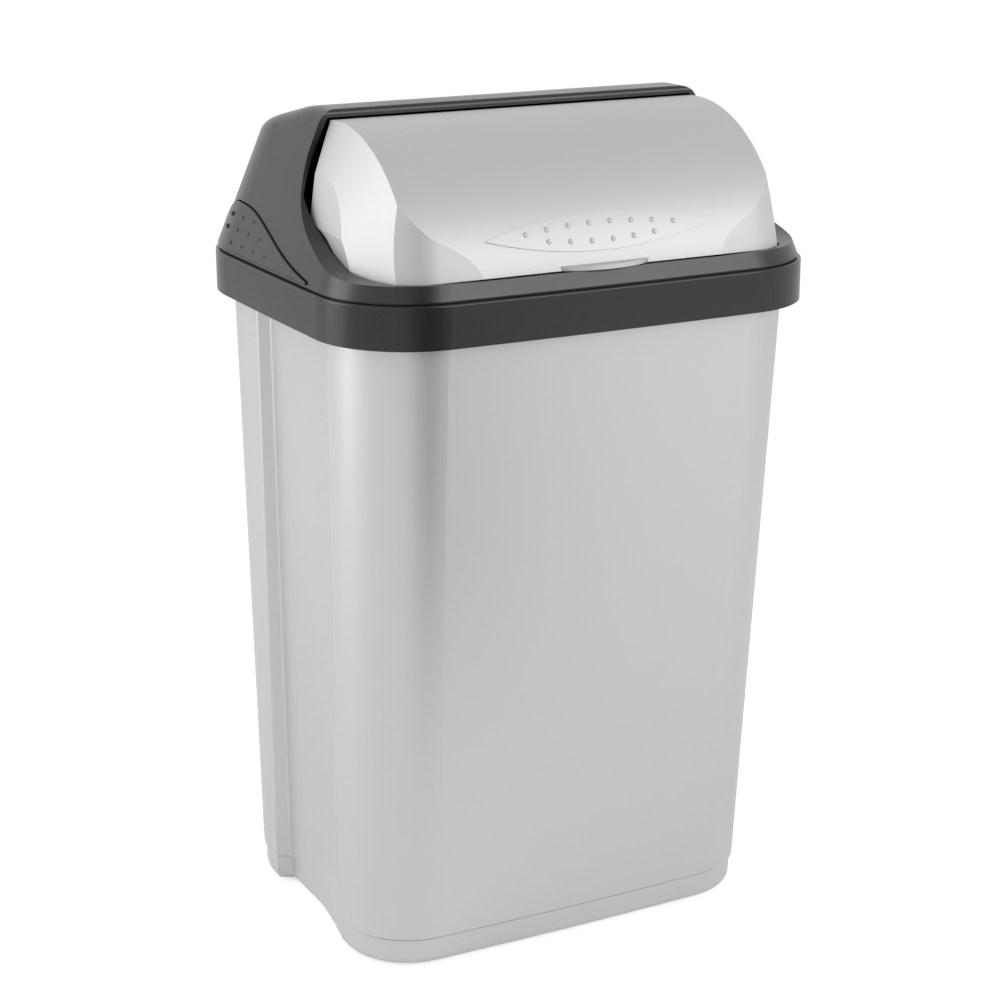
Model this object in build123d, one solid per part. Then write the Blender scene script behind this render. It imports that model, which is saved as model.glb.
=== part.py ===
from build123d import *
import math
import os

# Swing-lid kitchen bin, in millimetres.
# +X is the bin's right as seen from the front, the front faces -Y and +Z is up.
# The origin is the middle of the footprint, on the surface the bin stands on.

# Feet
FOOT_HEIGHT = 1.6
FOOT_DIAMETER = 18.0
FOOT_INSET = 34.0

# Tapered body
BODY_TOP_Z = 421.0
BODY_TOP_HALF_WIDTH = 149.6
BODY_TOP_FRONT = 128.0
BODY_REAR_SETBACK = 1.4
BODY_TOP_REAR = BODY_TOP_FRONT - BODY_REAR_SETBACK
BODY_TOP_CORNER = 50.8
STEP_Z = 20.5
STEP_HALF_WIDTH = 140.4
STEP_FRONT = 101.4
STEP_REAR = 123.4
STEP_CORNER = 45.4
REAR_CORNER_EXTRA = 14.0
BODY_SIDE_BOW = 1.5
BODY_FRONT_BOW = 3.0
BODY_WALL = 2.2
BODY_FLOOR = 2.6
SKIRT_INSET = 1.4
SKIRT_EDGE_RADIUS = 6.0
STEP_GROOVE_HEIGHT = 1.2
STEP_GROOVE_DEPTH = 1.0
RECESS_DEPTH_TOP = 7.0
RECESS_DEPTH_LOW = 9.0
POST_EDGE_TOP_Y = 37.0
POST_EDGE_LOW_Y = 54.5
POST_STEP_RUN = 5.0
POST_ROUNDING = 2.0
RECESS_START_Y = 18.0
RIM_FLANGE_WIDTH = 4.0
RIM_FLANGE_THICKNESS = 2.4

# Rim frame, the dark band that grips the body's rim and holds the bag
FRAME_ABOVE_BODY = 4.8
FRAME_TOP_Z = BODY_TOP_Z + FRAME_ABOVE_BODY
FRAME_HEIGHT = 25.5
FRAME_SIDE_OVERHANG = 10.4
FRAME_FRONT_OVERHANG = 8.4
FRAME_HALF_WIDTH = BODY_TOP_HALF_WIDTH + FRAME_SIDE_OVERHANG
FRAME_HALF_DEPTH = BODY_TOP_FRONT + FRAME_FRONT_OVERHANG
FRAME_CORNER = 58.5
FRAME_REAR_CORNER = 74.8
FRAME_SIDE_BOW = 1.1
FRAME_FRONT_BOW = 3.0
FRAME_WALL = 2.2
FRAME_PLATE = 2.4
FRAME_EDGE_RADIUS = 1.2
FRAME_THROAT_WALL = 2.0
FRAME_THROAT_DEPTH = 20.0
THROAT_CLEARANCE = 0.8

# Swing lid, a drum sector that rolls back under the hood
LID_RADIUS = 98.9
LID_FRONT_SETBACK = 6.5
PIVOT_DROP = 8.8
PIVOT_Y = LID_FRONT_SETBACK + LID_RADIUS - FRAME_HALF_DEPTH
PIVOT_Z = FRAME_TOP_Z - PIVOT_DROP
CHEEK_INSET = 20.0
HUB_INSET = 16.2
LID_TAPER = 17.5
CHEEK_HALF_WIDTH = FRAME_HALF_WIDTH - CHEEK_INSET
HUB_HALF_WIDTH = BODY_TOP_HALF_WIDTH - HUB_INSET
LID_TOP_HALF_WIDTH = CHEEK_HALF_WIDTH - LID_TAPER
LID_SIDE_LEAN = 0.40
HUB_STEP_OUTER = 40.0
HUB_STEP_INNER = 34.5
CHEEK_NOTCH_CLEARANCE = 1.4
LID_WALL = 2.4
LID_FRONT_ANGLE = 11.4
LID_TOP_ANGLE = 96.5
LID_GAP = 1.3
LID_CORNER_INSET = 41.0
LID_CORNER_X = CHEEK_HALF_WIDTH - LID_CORNER_INSET
LID_CORNER_AHEAD = 45.0
LID_CORNER_Y = PIVOT_Y - LID_CORNER_AHEAD
LID_CORNER_RADIUS = 44.0
LID_CORNER_LEAN = 0.19
LID_FRONT_BOW = 11.7
PIN_DIAMETER = 8.0
PIN_FIT = 0.06
PIN_HEAD_DIAMETER = 13.0
PIN_HEAD_THICKNESS = 1.8
PIN_HEAD_GAP = 0.4
PIN_REACH = 20.0
HUB_DIAMETER = 18.0

# Hood
HOOD_GAP = 0.3
HOOD_LEDGE = 1.6
HOOD_REVEAL_HEIGHT = 1.2
HOOD_REVEAL_DEPTH = 1.6
HOOD_WALL = 2.0
HOOD_OVER_LID = 5.1
HOOD_BASE_Z = FRAME_TOP_Z + HOOD_GAP
HOOD_TOP_Z = PIVOT_Z + LID_RADIUS + HOOD_OVER_LID
HOOD_SIDE_LEAN = 0.33
HOOD_FRONT_LEAN = 0.36
HOOD_REAR_LEAN = 0.236
HOOD_TOP_EDGE_RADIUS = 12.0
HOOD_TOP_SLOPE = 0.24
HOOD_CREST_BEHIND_LIP = 26.5
HOOD_CREST_ROUNDING = 90.0
HOOD_BASE_PLATE = 2.0
HOOD_PLUG_DEPTH = 17.0
HOOD_PLUG_WALL = 2.0
PLUG_CLEARANCE = 0.6
SILL_HEIGHT = 10.2
SILL_Z = FRAME_TOP_Z + SILL_HEIGHT
LIP_BEHIND_PIVOT = 12.5
LIP_Y = PIVOT_Y + LIP_BEHIND_PIVOT
LIP_ROUNDING = 3.0
ARCH_RISE = HOOD_TOP_Z - SILL_Z
LID_SWEEP_AHEAD = 29.0

# Push pad and finger pull on the lid
PAD_HALF_LENGTH = 75.0
PAD_RISE_TOP = 11.5
PAD_RISE_LOW = 11.0
PAD_ANGLE = 23.3
PAD_HEIGHT = 0.9
BUMP_RADIUS = 2.2
BUMP_HEIGHT = 0.8
BUMP_PITCH = 14.0
BUMP_ROW_OFFSET = 4.2
PULL_HALF_LENGTH = 31.0
PULL_REACH = 7.0
PULL_THICKNESS = 2.6

# Squeeze grips on the sides of the hood
GRIP_PROUD = 1.2
GRIP_THICKNESS = 2.8
GRIP_GAP = 0.7
GRIP_BASE_GAP = 1.0
GRIP_NOSE_SETBACK = 76.4
GRIP_NOSE_Y = GRIP_NOSE_SETBACK - FRAME_HALF_DEPTH
GRIP_NOSE_HEIGHT = 0.8
GRIP_REAR_SETBACK = 44.4
GRIP_REAR_Y = FRAME_HALF_DEPTH - GRIP_REAR_SETBACK
GRIP_REAR_Z = HOOD_BASE_Z + 9.9
GRIP_REAR_RADIUS = 34.0
GRIP_CREST_Y = GRIP_REAR_Y - 30.0
GRIP_CREST_Z = HOOD_BASE_Z + 31.5
GRIP_DOT_RADIUS = 1.6
GRIP_DOT_HEIGHT = 0.6
GRIP_DOT_PITCH = 17.5
GRIP_DOT_ROWS = [(7.5, -58.0, 4), (15.5, -45.0, 4), (23.5, -31.0, 3)]
GRIP_INNER_X = CHEEK_HALF_WIDTH - 40.0

FAR = 400.0


def rounded_plan(half_width, front, rear, front_corner, rear_corner, side_bow, front_bow):
    """Plan outline with gently bowed sides and round corners, front at -Y."""
    left = half_width - side_bow
    front_y = -(front - front_bow)
    rear_y = rear - front_bow
    middle_y = (front_y + rear_y) / 2
    with BuildSketch() as plan:
        with BuildLine():
            ThreePointArc((-left, front_y), (0, -front), (left, front_y))
            ThreePointArc((left, front_y), (half_width, middle_y), (left, rear_y))
            ThreePointArc((left, rear_y), (0, rear), (-left, rear_y))
            ThreePointArc((-left, rear_y), (-half_width, middle_y), (-left, front_y))
        make_face()
        fillet(plan.vertices().filter_by(lambda v: v.Y < middle_y), front_corner)
        fillet(plan.vertices().filter_by(lambda v: v.Y > middle_y).sort_by(Axis.Y)[-4:]
               .filter_by(lambda v: abs(v.Y - rear_y) < 0.01), rear_corner)
    return plan.sketch


def frame_plan(inset):
    """Outline of the rim frame and of everything above it, drawn in by a distance."""
    return rounded_plan(
        FRAME_HALF_WIDTH - inset,
        FRAME_HALF_DEPTH - inset,
        FRAME_HALF_DEPTH - inset,
        FRAME_CORNER - inset,
        FRAME_REAR_CORNER - inset,
        FRAME_SIDE_BOW,
        FRAME_FRONT_BOW,
    )


def prism(sketch, low, high):
    """Straight block standing on a plan outline between two heights."""
    return extrude(Pos(0, 0, low) * sketch, amount=high - low)


def body_value(low_value, top_value, height):
    """Body size at a height, on the straight taper from the step line to the rim."""
    share = (height - STEP_Z) / (BODY_TOP_Z - STEP_Z)
    return low_value + (top_value - low_value) * share


def body_plan(height, inset, recessed=True, rounding=0.0):
    """Body outline at a height, with the drawn-in sides in front of the rear posts."""
    half_width = body_value(STEP_HALF_WIDTH, BODY_TOP_HALF_WIDTH, height) - inset
    front = body_value(STEP_FRONT, BODY_TOP_FRONT, height) - inset
    rear = body_value(STEP_REAR, BODY_TOP_REAR, height) - inset
    corner = body_value(STEP_CORNER, BODY_TOP_CORNER, height) - inset
    outline = rounded_plan(
        half_width, front, rear, corner, corner + REAR_CORNER_EXTRA, BODY_SIDE_BOW, BODY_FRONT_BOW
    )
    if not recessed:
        return outline
    depth = body_value(RECESS_DEPTH_LOW, RECESS_DEPTH_TOP, height)
    post_y = body_value(POST_EDGE_LOW_Y, POST_EDGE_TOP_Y, height) + inset
    start_y = corner - front
    inner_x = half_width - depth
    outer_x = half_width + 1.0
    for side in (-1, 1):
        with BuildSketch() as recess:
            with BuildLine():
                Spline(
                    (side * outer_x, start_y),
                    (side * inner_x, RECESS_START_Y),
                    tangents=[(-side * 0.16, 1), (0, 1)],
                )
                Polyline(
                    (side * inner_x, RECESS_START_Y),
                    (side * inner_x, post_y - POST_STEP_RUN),
                    (side * outer_x, post_y),
                    (side * outer_x, start_y),
                )
            make_face()
        outline -= recess.sketch
        if rounding > 0:
            corners = outline.vertices()
            inner = corners.sort_by_distance((side * inner_x, post_y - POST_STEP_RUN, 0))[0]
            outer = corners.sort_by_distance((side * half_width, post_y, 0))[0]
            outline = fillet([inner, outer], rounding)
    return outline


def body_block(inset, low, high, rounding=0.0):
    """Tapered block between two heights of the body."""
    faces = [Pos(0, 0, z) * body_plan(z, inset, True, rounding).face() for z in (low, high)]
    return loft(faces, ruled=True)


def make_bin_body():
    groove_low = STEP_Z - STEP_GROOVE_HEIGHT
    skirt = body_block(SKIRT_INSET, FOOT_HEIGHT, groove_low)
    skirt = fillet(skirt.edges().group_by(Axis.Z)[0], SKIRT_EDGE_RADIUS)
    body = skirt + body_block(SKIRT_INSET + STEP_GROOVE_DEPTH, groove_low, STEP_Z)
    body += body_block(0, STEP_Z, BODY_TOP_Z, POST_ROUNDING)
    flange_low = BODY_TOP_Z - RIM_FLANGE_THICKNESS
    body += prism(body_plan(BODY_TOP_Z, -RIM_FLANGE_WIDTH, False), flange_low, BODY_TOP_Z)
    low_cavity = body_block(SKIRT_INSET + BODY_WALL, FOOT_HEIGHT + BODY_FLOOR, STEP_Z + BODY_WALL)
    low_cavity = fillet(low_cavity.edges().group_by(Axis.Z)[0], SKIRT_EDGE_RADIUS - BODY_WALL)
    body -= low_cavity
    body -= body_block(BODY_WALL, STEP_Z + BODY_WALL, BODY_TOP_Z + 1, POST_ROUNDING)
    return body


def make_feet():
    """Four low pads under the corners of the floor."""
    front_y = -(STEP_FRONT - FOOT_INSET)
    rear_y = STEP_REAR - FOOT_INSET
    side_x = STEP_HALF_WIDTH - FOOT_INSET
    places = {
        "foot_front_left": (-side_x, front_y),
        "foot_front_right": (side_x, front_y),
        "foot_rear_left": (-side_x, rear_y),
        "foot_rear_right": (side_x, rear_y),
    }
    feet = {}
    for name, (x, y) in places.items():
        pad = Cylinder(FOOT_DIAMETER / 2, FOOT_HEIGHT, align=(Align.CENTER, Align.CENTER, Align.MIN))
        pad = chamfer(pad.edges().group_by(Axis.Z)[0], FOOT_HEIGHT / 4)
        feet[name] = Pos(x, y, 0) * pad
    return feet


def throat_plan(inset):
    """Outline of the frame's throat, which drops inside the body's wall."""
    return body_plan(BODY_TOP_Z - FRAME_THROAT_DEPTH, BODY_WALL + THROAT_CLEARANCE + inset)


def make_rim_frame():
    low = FRAME_TOP_Z - FRAME_HEIGHT
    plate_low = FRAME_TOP_Z - FRAME_PLATE
    frame = prism(frame_plan(0), low, FRAME_TOP_Z)
    frame = fillet(frame.edges().group_by(Axis.Z)[-1], FRAME_EDGE_RADIUS)
    frame -= prism(frame_plan(FRAME_WALL), low - 1, plate_low)
    throat_low = FRAME_TOP_Z - FRAME_THROAT_DEPTH
    frame += prism(throat_plan(0), throat_low, plate_low)
    frame -= prism(throat_plan(FRAME_THROAT_WALL), throat_low - 1, FRAME_TOP_Z + 1)
    return frame


def hood_plan(height, grow):
    """Hood outline at a height. Its front, sides and rear lean in at their own rates."""
    rise = height - HOOD_BASE_Z
    half_width = FRAME_HALF_WIDTH - HOOD_LEDGE - HOOD_SIDE_LEAN * rise + grow
    front = FRAME_HALF_DEPTH - HOOD_LEDGE - HOOD_FRONT_LEAN * rise + grow
    rear = FRAME_HALF_DEPTH - HOOD_LEDGE - HOOD_REAR_LEAN * rise + grow
    front_corner = FRAME_CORNER - HOOD_LEDGE - HOOD_SIDE_LEAN * rise / 2 + grow
    rear_corner = FRAME_REAR_CORNER - HOOD_LEDGE + grow
    return rounded_plan(
        half_width, front, rear, front_corner, rear_corner, FRAME_SIDE_BOW, FRAME_FRONT_BOW
    )


def hood_top_view(grow):
    """Side outline of the hood's top: level behind the lip, then sloping down to the rear."""
    top = HOOD_TOP_Z + grow
    crest_y = LIP_Y + HOOD_CREST_BEHIND_LIP
    rear_top = top - HOOD_TOP_SLOPE * (FAR - crest_y)
    with BuildSketch(Plane.YZ) as view:
        with BuildLine():
            Polyline((-FAR, 0), (-FAR, top), (crest_y, top), (FAR, rear_top), (FAR, 0), (-FAR, 0))
        make_face()
        crest = view.vertices().sort_by_distance((crest_y, top, 0))[0]
        fillet(crest, HOOD_CREST_ROUNDING + grow)
    return extrude(view.sketch, amount=FAR, both=True)


def hood_side_view(grow):
    """Side outline of the hood's open front: sill, arch and lip."""
    sill = SILL_Z + grow
    lip = LIP_Y - grow
    top = HOOD_TOP_Z + grow
    arch_foot = LIP_Y - 89.5 - grow
    arch_top = SILL_Z + 0.93 * ARCH_RISE
    with BuildSketch(Plane.YZ) as view:
        with BuildLine():
            Polyline((-FAR, HOOD_BASE_Z - 1), (-FAR, sill), (arch_foot, sill))
            Spline(
                (arch_foot, sill),
                (LIP_Y - 38.5 - grow / 2, SILL_Z + 0.133 * ARCH_RISE + grow),
                (LIP_Y - 1.5 - grow, SILL_Z + 0.466 * ARCH_RISE + grow / 2),
                (LIP_Y + 3.0 - grow, SILL_Z + 0.694 * ARCH_RISE),
                (lip, arch_top),
                tangents=[(1, 0), (-0.12, 1)],
            )
            Line((lip, arch_top), (lip, top - LIP_ROUNDING))
            RadiusArc((lip, top - LIP_ROUNDING), (lip + LIP_ROUNDING, top), LIP_ROUNDING)
            Polyline(
                (lip + LIP_ROUNDING, top),
                (FAR, top),
                (FAR, HOOD_BASE_Z - 1),
                (-FAR, HOOD_BASE_Z - 1),
            )
        make_face()
    return extrude(view.sketch, amount=FAR / 2, both=True)


def hood_block(grow):
    """Solid form of the hood with a round top edge, grown or shrunk evenly."""
    low = HOOD_BASE_Z + HOOD_REVEAL_HEIGHT
    high = HOOD_TOP_Z + 4
    block = loft([Pos(0, 0, z) * hood_plan(z, grow).face() for z in (low, high)], ruled=True)
    block &= hood_top_view(grow)
    rim_low = SILL_Z + ARCH_RISE / 2
    high_edges = block.edges().filter_by(lambda e: e.bounding_box().min.Z > rim_low)
    rim = high_edges.filter_by(lambda e: abs(e.center().X) > 1 or e.bounding_box().size.Y > 0.01)
    block = fillet(rim, HOOD_TOP_EDGE_RADIUS + grow)
    return block & hood_side_view(grow)


def on_drum(radius, angle):
    """Point at a radius and an angle above the front, seen from the side of the pivot."""
    turn = math.radians(angle)
    return PIVOT_Y - radius * math.cos(turn), PIVOT_Z + radius * math.sin(turn)


def drum(grow, start_angle, sweep):
    """Part of a drum about the pivot, with dished sides that step in at the hub."""
    radius = LID_RADIUS + grow
    half_top = LID_TOP_HALF_WIDTH + grow
    half_cheek = CHEEK_HALF_WIDTH + grow
    half_hub = HUB_HALF_WIDTH + grow
    knee = radius - (half_cheek - half_top) / LID_SIDE_LEAN
    right = [
        (half_top, -radius),
        (half_cheek, -knee),
        (half_cheek, -HUB_STEP_OUTER),
        (half_hub, -HUB_STEP_INNER),
        (half_hub, 0),
    ]
    left = [(-x, y) for x, y in reversed(right)]
    with BuildSketch(Plane.XY) as section:
        with BuildLine():
            Polyline(*left, *right, close=True)
        make_face()
    turned = revolve(section.sketch, axis=Axis.X, revolution_arc=sweep)
    return Pos(0, PIVOT_Y, PIVOT_Z) * Rot(-start_angle - sweep, 0, 0) * turned


def lid_column(grow):
    """Upright column that rounds the lid's front corners, leaning in as it rises."""
    faces = []
    for z in (PIVOT_Z - 12, HOOD_TOP_Z + 6):
        corner = LID_CORNER_RADIUS - LID_CORNER_LEAN * (z - SILL_Z) + grow
        half_width = LID_CORNER_X + corner
        front = -LID_CORNER_Y + corner
        plan = rounded_plan(
            half_width + 1, front + LID_FRONT_BOW, FRAME_HALF_DEPTH, corner, corner, 1, LID_FRONT_BOW
        )
        faces.append(Pos(0, 0, z) * plan.face())
    return loft(faces, ruled=True)


def lens_block(low, high):
    """Lens-shaped block that points outwards through the lid at the push pad."""
    turn = math.radians(PAD_ANGLE)
    outwards = (0, -math.cos(turn), math.sin(turn))
    plane = Plane(origin=(0, PIVOT_Y, PIVOT_Z), x_dir=(1, 0, 0), z_dir=outwards)
    with BuildSketch(plane) as lens:
        with BuildLine():
            ThreePointArc((-PAD_HALF_LENGTH, 0), (0, PAD_RISE_TOP), (PAD_HALF_LENGTH, 0))
            ThreePointArc((PAD_HALF_LENGTH, 0), (0, -PAD_RISE_LOW), (-PAD_HALF_LENGTH, 0))
        make_face()
    block = extrude(lens.sketch, amount=high)
    return block - extrude(lens.sketch, amount=low)


def bump_places():
    """Two rows of bumps that follow the lens: eight above, six below."""
    places = []
    for count, side, rise in ((8, 1, PAD_RISE_TOP), (6, -1, PAD_RISE_LOW)):
        for index in range(count):
            x = (index - (count - 1) / 2) * BUMP_PITCH
            bow = rise * (1 - (x / PAD_HALF_LENGTH) ** 2) - BUMP_ROW_OFFSET
            places.append((x, side * bow * 0.75))
    return places


def make_swing_lid():
    sweep = LID_TOP_ANGLE - LID_FRONT_ANGLE
    lid = drum(0, LID_FRONT_ANGLE, sweep) & lid_column(0)
    hollow = drum(-LID_WALL, LID_FRONT_ANGLE - 5, sweep + 10) & lid_column(-LID_WALL)
    lid -= hollow
    for side in (-1, 1):
        notch_x = side * (HUB_HALF_WIDTH + FAR / 2)
        notch_top = HOOD_BASE_Z + HOOD_BASE_PLATE + CHEEK_NOTCH_CLEARANCE
        lid -= Pos(notch_x, 0, notch_top - FAR / 2) * Box(FAR, FAR, FAR)
    skin = drum(PAD_HEIGHT, LID_FRONT_ANGLE, sweep) - drum(-LID_WALL / 2, LID_FRONT_ANGLE - 5, sweep + 10)
    lid += lens_block(LID_RADIUS - 20, LID_RADIUS + 20) & skin
    for x, rise in bump_places():
        angle = PAD_ANGLE + math.degrees(rise / LID_RADIUS)
        y, z = on_drum(LID_RADIUS + PAD_HEIGHT + BUMP_HEIGHT - BUMP_RADIUS, angle)
        lid += Pos(x, y, z) * Sphere(BUMP_RADIUS)
    pull_y, pull_z = on_drum(LID_RADIUS - LID_WALL / 2, LID_FRONT_ANGLE + 0.5)
    with BuildSketch(Plane.XY.offset(SILL_Z + 0.5)) as pull:
        with BuildLine():
            ThreePointArc(
                (-PULL_HALF_LENGTH, pull_y),
                (0, pull_y - LID_WALL / 2 - PULL_REACH),
                (PULL_HALF_LENGTH, pull_y),
            )
            Line((PULL_HALF_LENGTH, pull_y), (-PULL_HALF_LENGTH, pull_y))
        make_face()
    lid += extrude(pull.sketch, amount=PULL_THICKNESS)
    for side in (-1, 1):
        inner = HUB_HALF_WIDTH - LID_WALL
        hub = Pos(side * (inner + LID_WALL / 2), PIVOT_Y, PIVOT_Z) * Rot(0, 90, 0)
        lid += hub * Cylinder(HUB_DIAMETER / 2, LID_WALL)
        lid -= hub * Cylinder(PIN_DIAMETER / 2 + PIN_FIT, LID_WALL * 3)
    return lid


def plug_plan(inset):
    """Outline of the hood's plug, which drops into the frame's throat."""
    return throat_plan(FRAME_THROAT_WALL + PLUG_CLEARANCE + inset)


def grip_side_view(grow):
    """Side outline of a grip: an S-shaped upper edge over a straight foot and a blunt nose."""
    foot = HOOD_BASE_Z + HOOD_BASE_PLATE + GRIP_BASE_GAP - grow
    nose_y = GRIP_NOSE_Y - grow
    nose_z = HOOD_BASE_Z + HOOD_BASE_PLATE + GRIP_BASE_GAP + GRIP_NOSE_HEIGHT + grow
    crest_z = GRIP_CREST_Z + grow
    rear_y = GRIP_REAR_Y + grow
    with BuildSketch(Plane.YZ) as view:
        with BuildLine():
            Spline(
                (nose_y, nose_z),
                (GRIP_CREST_Y - 84 - grow / 4, HOOD_BASE_Z + 11.4 + grow),
                (GRIP_CREST_Y - 34 - grow / 4, HOOD_BASE_Z + 27.5 + grow),
                (GRIP_CREST_Y, crest_z),
                tangents=[(1, 0.14), (1, 0)],
            )
            RadiusArc((GRIP_CREST_Y, crest_z), (rear_y, GRIP_REAR_Z), GRIP_REAR_RADIUS + grow)
            Polyline((rear_y, GRIP_REAR_Z), (rear_y, foot), (nose_y, foot), (nose_y, nose_z))
        make_face()
    return extrude(view.sketch, amount=FAR / 2, both=True)


def side_half(side):
    """Block that keeps what lies on one side of the bin, outside the lid's cheeks."""
    return Pos(side * (GRIP_INNER_X + FAR / 2), 0, PIVOT_Z) * Box(FAR, FAR, FAR)


def make_hood():
    base_top = HOOD_BASE_Z + HOOD_BASE_PLATE
    hood = hood_block(0) + prism(frame_plan(HOOD_LEDGE + HOOD_REVEAL_DEPTH), HOOD_BASE_Z, base_top)
    above_plate = prism(frame_plan(-5), base_top, FAR * 2)
    hood -= hood_block(-HOOD_WALL) & above_plate
    swept = drum(LID_GAP, -10, 200) & above_plate
    hood -= swept & lid_column(LID_GAP)
    hood -= swept & (Pos(0, PIVOT_Y - LID_SWEEP_AHEAD + FAR, FAR) * Box(FAR * 2, FAR * 2, FAR * 2))
    plug_low = FRAME_TOP_Z - HOOD_PLUG_DEPTH
    hood += prism(plug_plan(0), plug_low, base_top)
    hood -= prism(plug_plan(HOOD_PLUG_WALL), plug_low - 1, base_top + 1)
    for side in (-1, 1):
        hood -= grip_side_view(GRIP_GAP) & side_half(side)
        hood -= pivot_rod(side, GRIP_INNER_X, FAR / 2, PIN_DIAMETER / 2)
    return hood


def pivot_rod(side, start, length, radius):
    """Round bar along the pivot axis, from a distance off the middle outwards."""
    place = Pos(side * (start + length / 2), PIVOT_Y, PIVOT_Z) * Rot(0, 90, 0)
    return place * Cylinder(radius, length)


def make_pivot_pin(side):
    """Pin from the lid's cheek through the plug wall, with a flat inner head."""
    head_x = HUB_HALF_WIDTH - LID_WALL - PIN_HEAD_GAP
    shank = pivot_rod(side, head_x, PIN_REACH, PIN_DIAMETER / 2)
    shank &= prism(plug_plan(0), PIVOT_Z - PIN_DIAMETER, PIVOT_Z + PIN_DIAMETER)
    head_start = head_x - PIN_HEAD_THICKNESS
    return shank + pivot_rod(side, head_start, PIN_HEAD_THICKNESS, PIN_HEAD_DIAMETER / 2)


def grip_surface_x(y, z):
    """Distance of the grip's face from the middle at a place on the hood's side."""
    half_width = FRAME_HALF_WIDTH - HOOD_LEDGE - HOOD_SIDE_LEAN * (z - HOOD_BASE_Z) + GRIP_PROUD
    corner = FRAME_REAR_CORNER
    into_corner = max(0.0, y - (FRAME_HALF_DEPTH - corner))
    return half_width - corner + math.sqrt(corner ** 2 - into_corner ** 2)


def make_grip(side):
    """Grip shell that lies proud of the hood's side, with its finger dots."""
    shell = hood_block(GRIP_PROUD) - hood_block(GRIP_PROUD - GRIP_THICKNESS)
    grip = shell & grip_side_view(0) & side_half(side)
    for rise, first_y, count in GRIP_DOT_ROWS:
        height = HOOD_BASE_Z + rise
        for index in range(count):
            y = GRIP_CREST_Y + first_y + index * GRIP_DOT_PITCH
            x = grip_surface_x(y, height) + GRIP_DOT_HEIGHT - GRIP_DOT_RADIUS
            grip += Pos(side * x, y, height) * Rot(0, 90, 0) * Sphere(GRIP_DOT_RADIUS)
    return grip


if __name__ == "__main__":
    os.makedirs("parts", exist_ok=True)
    pieces = {"bin_body": make_bin_body()}
    pieces.update(make_feet())
    pieces["rim_frame"] = make_rim_frame()
    pieces["hood"] = make_hood()
    pieces["swing_lid"] = make_swing_lid()
    for side, word in ((-1, "left"), (1, "right")):
        pieces["pivot_pin_" + word] = make_pivot_pin(side)
        pieces["side_grip_" + word] = make_grip(side)
    for name, shape in pieces.items():
        export_step(shape, "parts/" + name + ".step")
        print(name, len(shape.solids()), round(shape.volume), shape.is_valid)
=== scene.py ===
import bpy
import bmesh
import math
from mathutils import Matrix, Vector

# Swing-lid kitchen bin, in metres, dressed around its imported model.

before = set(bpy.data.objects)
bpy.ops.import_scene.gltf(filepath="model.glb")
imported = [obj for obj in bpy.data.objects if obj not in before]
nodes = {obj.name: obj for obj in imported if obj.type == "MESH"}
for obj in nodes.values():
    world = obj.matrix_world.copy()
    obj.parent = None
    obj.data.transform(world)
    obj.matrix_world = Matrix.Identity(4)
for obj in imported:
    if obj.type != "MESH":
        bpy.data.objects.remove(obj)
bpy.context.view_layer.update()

# Camera of the photograph: seen from the bin's front left, a little above.
CAMERA_AZIMUTH = math.radians(-28.0)
CAMERA_ELEVATION = math.radians(16.9)
CAMERA_DISTANCE = 1.5147
CAMERA_TARGET = Vector((-0.0005, 0.0, 0.2621))
LENS_MM = 84.97
SENSOR_MM = 36.0

# Studio: a white surround, with a ceiling that looks dimmer in gloss.
BACKDROP_WHITE = 1.0
SURROUND_LEVEL = 0.55
WALL_GLOSS = 1.0
CEILING_GLOSS = 0.75
CEILING_STARTS = 0.35
CEILING_FULL = 0.85

# Floor: its tone, and the light of its own that keeps it white to the camera.
FLOOR_TONE = 0.8
FLOOR_LIFT = 0.56
FLOOR_GLOSS = 0.25
FLOOR_HALF = 4.0
FLOOR_ROUGHNESS = 0.9

# Dark doorway in front of the bin, seen only in gloss, which the corners reflect.
DOORWAY_AZIMUTH = -4.0
DOORWAY_INNER = 8.0
DOORWAY_OUTER = 30.0
DOORWAY_DEPTH = 0.95
DOORWAY_NEAR = 0.35
DOORWAY_FAR = 1.0

# Stretch along each axis, scale, detail and roughness of each noise.
EVEN = (1, 1, 1)
FLAKE_NOISE = (EVEN, 2600, 2.0, 0.7)
GRAIN_NOISE = ((60, 60, 900), 1.0, 3.0, 0.6)
FLOW_NOISE = ((1, 1, 0.5), 9.0, 2.0, 0.5)
FINE_NOISE = (EVEN, 1800, 2.0, 0.6)
SLOW_NOISE = (EVEN, 14, 3.0, 0.5)

# How much each noise counts in the silver, and how far it moves the gloss.
FLAKE_SHARE = 0.45
GRAIN_SHARE = 0.25
FLOW_SHARE = 0.30
SILVER_GLOSS_SHIFT = 0.10
MOULDED_GLOSS_SHIFT = 0.16
MOULDED_BLUE = 1.04
RELIEF_DISTANCE = 0.0001


def make_group(name, inputs, outputs):
    """Empty shader node group with named inputs and outputs."""
    group = bpy.data.node_groups.new(name, "ShaderNodeTree")
    for label, kind, value in inputs:
        socket = group.interface.new_socket(name=label, in_out="INPUT", socket_type=kind)
        socket.default_value = value
    for label, kind in outputs:
        group.interface.new_socket(name=label, in_out="OUTPUT", socket_type=kind)
    entry = group.nodes.new("NodeGroupInput")
    leave = group.nodes.new("NodeGroupOutput")
    return group, entry, leave


def math_node(tree, operation, first, second=None):
    """Math node fed by sockets or plain numbers; gives its output socket."""
    node = tree.nodes.new("ShaderNodeMath")
    node.operation = operation
    for index, value in enumerate((first, second)):
        if value is None:
            continue
        if isinstance(value, (int, float)):
            node.inputs[index].default_value = value
        else:
            tree.links.new(value, node.inputs[index])
    return node.outputs[0]


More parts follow.
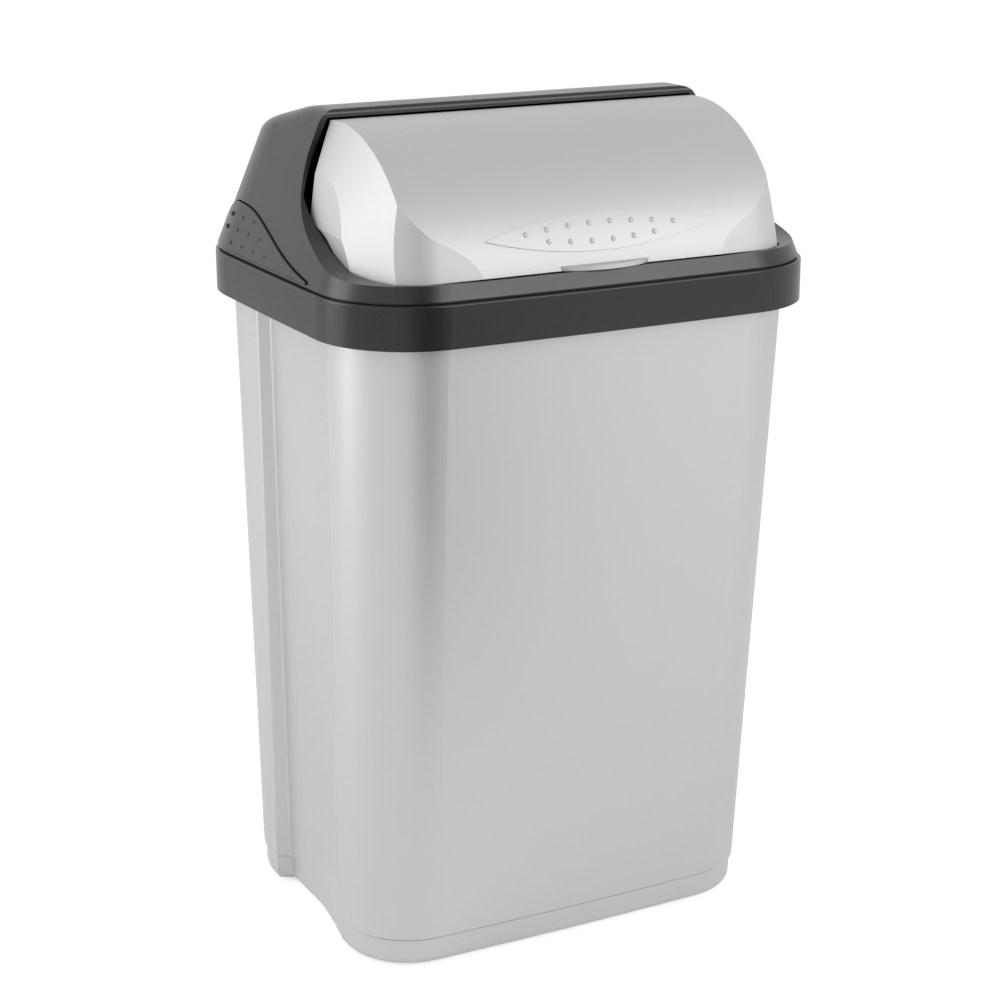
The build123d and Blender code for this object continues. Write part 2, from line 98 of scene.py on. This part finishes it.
def smooth_ramp(tree, value, start, end, low, high):
    """Eases a value from low to high between a start and an end."""
    node = tree.nodes.new("ShaderNodeMapRange")
    node.interpolation_type = "SMOOTHSTEP"
    node.inputs["From Min"].default_value = start
    node.inputs["From Max"].default_value = end
    node.inputs["To Min"].default_value = low
    node.inputs["To Max"].default_value = high
    tree.links.new(value, node.inputs["Value"])
    return node.outputs["Result"]


def noise(tree, stretch, scale, detail, roughness):
    """Noise over stretched object coordinates; gives its value socket."""
    coordinates = tree.nodes.new("ShaderNodeTexCoord")
    mapping = tree.nodes.new("ShaderNodeMapping")
    mapping.inputs["Scale"].default_value = stretch
    tree.links.new(coordinates.outputs["Object"], mapping.inputs["Vector"])
    node = tree.nodes.new("ShaderNodeTexNoise")
    node.inputs["Scale"].default_value = scale
    node.inputs["Detail"].default_value = detail
    node.inputs["Roughness"].default_value = roughness
    tree.links.new(mapping.outputs["Vector"], node.inputs["Vector"])
    return node.outputs["Fac"]


def shifted_gloss(tree, entry, pattern, amount):
    """The group's gloss, moved up and down by a pattern."""
    centred = math_node(tree, "SUBTRACT", pattern, 0.5)
    shift = math_node(tree, "MULTIPLY", centred, amount)
    return math_node(tree, "ADD", entry.outputs["Gloss"], shift)


def make_finish_group(name, tone, spread, gloss):
    """Finish group with tone, spread and gloss going in, and colour, roughness and height out."""
    return make_group(
        name,
        [
            ("Tone", "NodeSocketFloat", tone),
            ("Spread", "NodeSocketFloat", spread),
            ("Gloss", "NodeSocketFloat", gloss),
        ],
        [
            ("Color", "NodeSocketColor"),
            ("Roughness", "NodeSocketFloat"),
            ("Height", "NodeSocketFloat"),
        ],
    )


def build_flake_group():
    """Metallic paint in plastic: fine flakes, brushed grain and faint flow marks."""
    group, entry, leave = make_finish_group("metallic_flake", 0.6, 0.03, 0.35)
    flakes = noise(group, *FLAKE_NOISE)
    grain = noise(group, *GRAIN_NOISE)
    flow = noise(group, *FLOW_NOISE)
    total = math_node(group, "MULTIPLY", flakes, FLAKE_SHARE)
    for pattern, share in ((grain, GRAIN_SHARE), (flow, FLOW_SHARE)):
        total = math_node(group, "ADD", total, math_node(group, "MULTIPLY", pattern, share))
    centred = math_node(group, "SUBTRACT", total, 0.5)
    shift = math_node(group, "MULTIPLY", centred, entry.outputs["Spread"])
    value = math_node(group, "ADD", entry.outputs["Tone"], shift)
    combine = group.nodes.new("ShaderNodeCombineColor")
    for index in range(3):
        group.links.new(value, combine.inputs[index])
    group.links.new(combine.outputs[0], leave.inputs["Color"])
    gloss = shifted_gloss(group, entry, flow, SILVER_GLOSS_SHIFT)
    group.links.new(gloss, leave.inputs["Roughness"])
    group.links.new(math_node(group, "ADD", flakes, grain), leave.inputs["Height"])
    return group


def build_moulding_group():
    """Moulded plastic: fine spark-eroded texture, with slow changes in gloss."""
    group, entry, leave = make_finish_group("moulded_plastic", 0.05, 0.2, 0.4)
    fine = noise(group, *FINE_NOISE)
    slow = noise(group, *SLOW_NOISE)
    centred = math_node(group, "SUBTRACT", math_node(group, "ADD", fine, slow), 1.0)
    shift = math_node(group, "MULTIPLY", centred, entry.outputs["Spread"])
    scale = math_node(group, "ADD", 1.0, shift)
    value = math_node(group, "MULTIPLY", entry.outputs["Tone"], scale)
    combine = group.nodes.new("ShaderNodeCombineColor")
    group.links.new(value, combine.inputs[0])
    group.links.new(value, combine.inputs[1])
    group.links.new(math_node(group, "MULTIPLY", value, MOULDED_BLUE), combine.inputs[2])
    group.links.new(combine.outputs[0], leave.inputs["Color"])
    gloss = shifted_gloss(group, entry, slow, MOULDED_GLOSS_SHIFT)
    group.links.new(gloss, leave.inputs["Roughness"])
    group.links.new(fine, leave.inputs["Height"])
    return group


def make_material(name, group, tone, spread, gloss, bump, metallic=0.0):
    """Material that takes its colour, gloss and relief from a node group."""
    material = bpy.data.materials.new(name)
    material.use_nodes = True
    tree = material.node_tree
    shader = tree.nodes["Principled BSDF"]
    shader.inputs["Metallic"].default_value = metallic
    effect = tree.nodes.new("ShaderNodeGroup")
    effect.node_tree = group
    effect.inputs["Tone"].default_value = tone
    effect.inputs["Spread"].default_value = spread
    effect.inputs["Gloss"].default_value = gloss
    tree.links.new(effect.outputs["Color"], shader.inputs["Base Color"])
    tree.links.new(effect.outputs["Roughness"], shader.inputs["Roughness"])
    relief = tree.nodes.new("ShaderNodeBump")
    relief.inputs["Strength"].default_value = bump
    relief.inputs["Distance"].default_value = RELIEF_DISTANCE
    tree.links.new(effect.outputs["Height"], relief.inputs["Height"])
    tree.links.new(relief.outputs["Normal"], shader.inputs["Normal"])
    return material


def dress(node_name, material):
    """Gives a CAD node its finished material."""
    item = nodes[node_name]
    if not item.material_slots:
        item.data.materials.append(material)
    for slot in item.material_slots:
        slot.material = material


def doorway_mask(tree, place):
    """1 where a place lies in the doorway's direction, falling to 0 beside it."""
    split = tree.nodes.new("ShaderNodeSeparateXYZ")
    tree.links.new(place, split.inputs[0])
    ahead = math_node(tree, "MULTIPLY", split.outputs["Y"], -1.0)
    angle = math_node(tree, "ARCTAN2", split.outputs["X"], ahead)
    offset = math_node(tree, "SUBTRACT", angle, math.radians(DOORWAY_AZIMUTH))
    away = math_node(tree, "ABSOLUTE", offset)
    inner, outer = math.radians(DOORWAY_INNER), math.radians(DOORWAY_OUTER)
    return smooth_ramp(tree, away, inner, outer, 1.0, 0.0)


def make_floor():
    """Pale floor that stays white to the camera and keeps a soft shadow under the bin."""
    material = bpy.data.materials.new("studio_white")
    material.use_nodes = True
    tree = material.node_tree
    shader = tree.nodes["Principled BSDF"]
    shader.inputs["Roughness"].default_value = FLOOR_ROUGHNESS
    shader.inputs["Specular IOR Level"].default_value = 0.0
    shader.inputs["Emission Color"].default_value = (1, 1, 1, 1)
    path = tree.nodes.new("ShaderNodeLightPath")
    in_gloss = path.outputs["Is Glossy Ray"]

    place = tree.nodes.new("ShaderNodeTexCoord").outputs["Object"]
    reach = tree.nodes.new("ShaderNodeVectorMath")
    reach.operation = "LENGTH"
    tree.links.new(place, reach.inputs[0])
    far = smooth_ramp(tree, reach.outputs["Value"], DOORWAY_NEAR, DOORWAY_FAR, 0.0, 1.0)
    dark = math_node(tree, "MULTIPLY", doorway_mask(tree, place), far)
    shade = math_node(tree, "MULTIPLY", dark, DOORWAY_DEPTH)
    pale = math_node(tree, "SUBTRACT", 1.0, math_node(tree, "MULTIPLY", in_gloss, shade))

    tone = tree.nodes.new("ShaderNodeCombineColor")
    for index in range(3):
        tree.links.new(math_node(tree, "MULTIPLY", pale, FLOOR_TONE), tone.inputs[index])
    tree.links.new(tone.outputs[0], shader.inputs["Base Color"])

    glow = math_node(tree, "MULTIPLY", math_node(tree, "MULTIPLY", in_gloss, pale), FLOOR_GLOSS)
    for ray in ("Is Camera Ray", "Is Transmission Ray"):
        lift = math_node(tree, "MULTIPLY", path.outputs[ray], FLOOR_LIFT)
        glow = math_node(tree, "ADD", glow, lift)
    tree.links.new(glow, shader.inputs["Emission Strength"])

    mesh = bpy.data.meshes.new("floor")
    sheet = bmesh.new()
    bmesh.ops.create_grid(sheet, x_segments=1, y_segments=1, size=FLOOR_HALF)
    sheet.to_mesh(mesh)
    sheet.free()
    floor = bpy.data.objects.new("floor", mesh)
    floor.data.materials.append(material)
    bpy.context.scene.collection.objects.link(floor)


def add_softbox(name, place, aim, size, power):
    """Rectangular area lamp that points at a spot."""
    data = bpy.data.lights.new(name, "AREA")
    data.shape = "RECTANGLE"
    data.size, data.size_y = size
    data.energy = power
    lamp = bpy.data.objects.new(name, data)
    lamp.location = place
    facing = Vector(aim) - Vector(place)
    lamp.rotation_euler = facing.to_track_quat("-Z", "Y").to_euler()
    bpy.context.scene.collection.objects.link(lamp)


def make_world():
    """Studio surround: white to the camera, and to gloss a bright wall under a dimmer ceiling."""
    world = bpy.data.worlds.new("studio")
    bpy.context.scene.world = world
    world.use_nodes = True
    tree = world.node_tree
    background = tree.nodes["Background"]
    background.inputs["Color"].default_value = (1, 1, 1, 1)
    path = tree.nodes.new("ShaderNodeLightPath")
    to_camera = path.outputs["Is Camera Ray"]
    in_gloss = path.outputs["Is Glossy Ray"]

    direction = tree.nodes.new("ShaderNodeTexCoord").outputs["Generated"]
    split = tree.nodes.new("ShaderNodeSeparateXYZ")
    tree.links.new(direction, split.inputs[0])
    height = split.outputs["Z"]
    rise = smooth_ramp(tree, height, CEILING_STARTS, CEILING_FULL, WALL_GLOSS, CEILING_GLOSS)
    dark = math_node(tree, "MULTIPLY", doorway_mask(tree, direction), DOORWAY_DEPTH)
    shown = math_node(tree, "MULTIPLY", rise, math_node(tree, "SUBTRACT", 1.0, dark))

    glossy = math_node(tree, "MULTIPLY", in_gloss, shown)
    camera = math_node(tree, "MULTIPLY", to_camera, BACKDROP_WHITE)
    direct = math_node(tree, "MAXIMUM", to_camera, in_gloss)
    other = math_node(tree, "SUBTRACT", 1.0, direct)
    diffuse = math_node(tree, "MULTIPLY", other, SURROUND_LEVEL)
    strength = math_node(tree, "ADD", math_node(tree, "ADD", glossy, camera), diffuse)
    tree.links.new(strength, background.inputs["Strength"])


def make_camera():
    """Camera that looks at the bin as the photograph does."""
    toward = Vector((
        math.sin(CAMERA_AZIMUTH) * math.cos(CAMERA_ELEVATION),
        -math.cos(CAMERA_AZIMUTH) * math.cos(CAMERA_ELEVATION),
        math.sin(CAMERA_ELEVATION),
    ))
    data = bpy.data.cameras.new("photo_camera")
    data.lens = LENS_MM
    data.sensor_width = SENSOR_MM
    camera = bpy.data.objects.new("photo_camera", data)
    camera.location = CAMERA_TARGET + toward * CAMERA_DISTANCE
    camera.rotation_euler = (-toward).to_track_quat("-Z", "Y").to_euler()
    bpy.context.scene.collection.objects.link(camera)
    bpy.context.scene.camera = camera


# Finishes: tone, spread of tone, roughness and relief, then how metallic the silver is.
flake = build_flake_group()
moulding = build_moulding_group()
silver_body = make_material("silver_body", flake, 0.64, 0.04, 0.38, 0.05, metallic=0.65)
silver_lid = make_material("silver_lid", flake, 0.60, 0.04, 0.50, 0.05, metallic=0.45)
dark_frame = make_material("dark_frame", moulding, 0.016, 0.2, 0.26, 0.10)
dark_hood = make_material("dark_hood", moulding, 0.019, 0.2, 0.30, 0.10)
dark_grip = make_material("dark_grip", moulding, 0.019, 0.2, 0.30, 0.10)
dark_pin = make_material("dark_pin", moulding, 0.030, 0.2, 0.40, 0.10)
foot_pad = make_material("foot_pad", moulding, 0.35, 0.1, 0.60, 0.10)

dress("bin_body", silver_body)
dress("swing_lid", silver_lid)
dress("rim_frame", dark_frame)
dress("hood", dark_hood)
for word in ("left", "right"):
    dress("side_grip_" + word, dark_grip)
    dress("pivot_pin_" + word, dark_pin)
    dress("foot_front_" + word, foot_pad)
    dress("foot_rear_" + word, foot_pad)

make_floor()
make_world()
add_softbox("key_left", (-1.8, 0.75, 0.9), (0, 0, 0.3), (1.0, 1.8), 16)
add_softbox("front_right", (0.9, -1.9, 1.2), (0, 0, 0.4), (1.4, 1.0), 17)
make_camera()

bpy.context.scene.view_settings.view_transform = "Standard"
